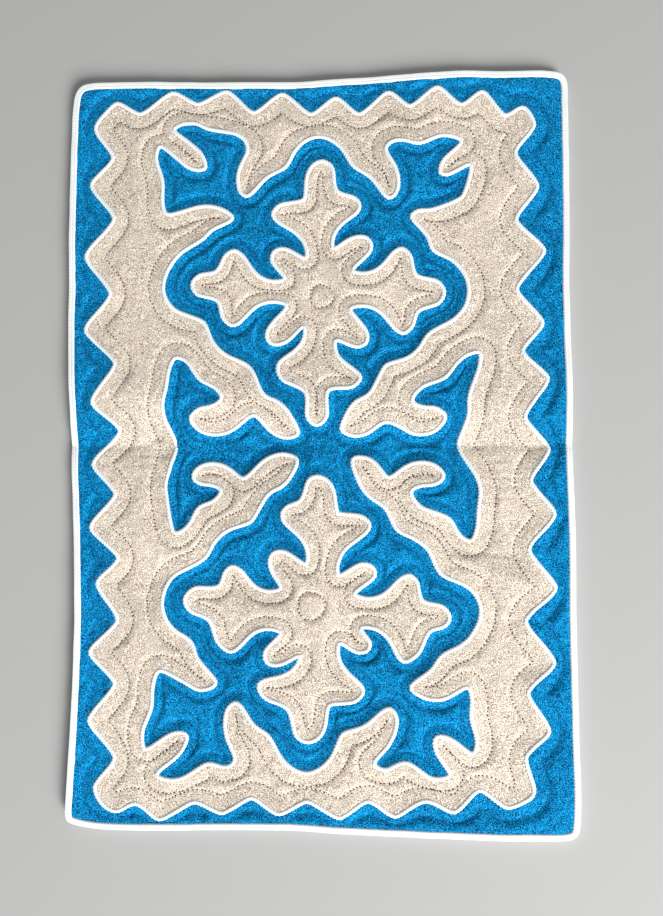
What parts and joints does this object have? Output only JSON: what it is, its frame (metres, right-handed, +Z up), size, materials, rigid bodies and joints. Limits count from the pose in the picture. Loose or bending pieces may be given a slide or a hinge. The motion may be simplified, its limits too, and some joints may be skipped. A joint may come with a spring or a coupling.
{
  "type": "felt rug",
  "caption": "Small rectangular rug of blue and beige felt in a curling mosaic ornament, its seams covered with white cord and its rim finished with double cord.",
  "frame": {"origin": "middle of the rug's underside, on the floor", "axes": "+Y along the rug's long side, +X along its short side, +Z up out of the patterned face"},
  "size_m": [0.6128, 0.9098, 0.0113],
  "materials": {
    "felt_blue": "matt pressed wool felt",
    "felt_beige": "matt pressed wool felt",
    "cord_white": "twisted wool cord"
  },
  "bodies": {
    "root": {"felt_border": "felt_blue", "felt_field": "felt_beige", "felt_ornament": "felt_blue", "felt_cross_north": "felt_beige", "felt_cross_south": "felt_beige", "cord_zigzag": "cord_white", "cord_ornament": "cord_white", "cord_cross_north": "cord_white", "cord_cross_south": "cord_white", "cord_edge_top": "cord_white", "cord_edge_side": "cord_white"}
  },
  "joints": []
}
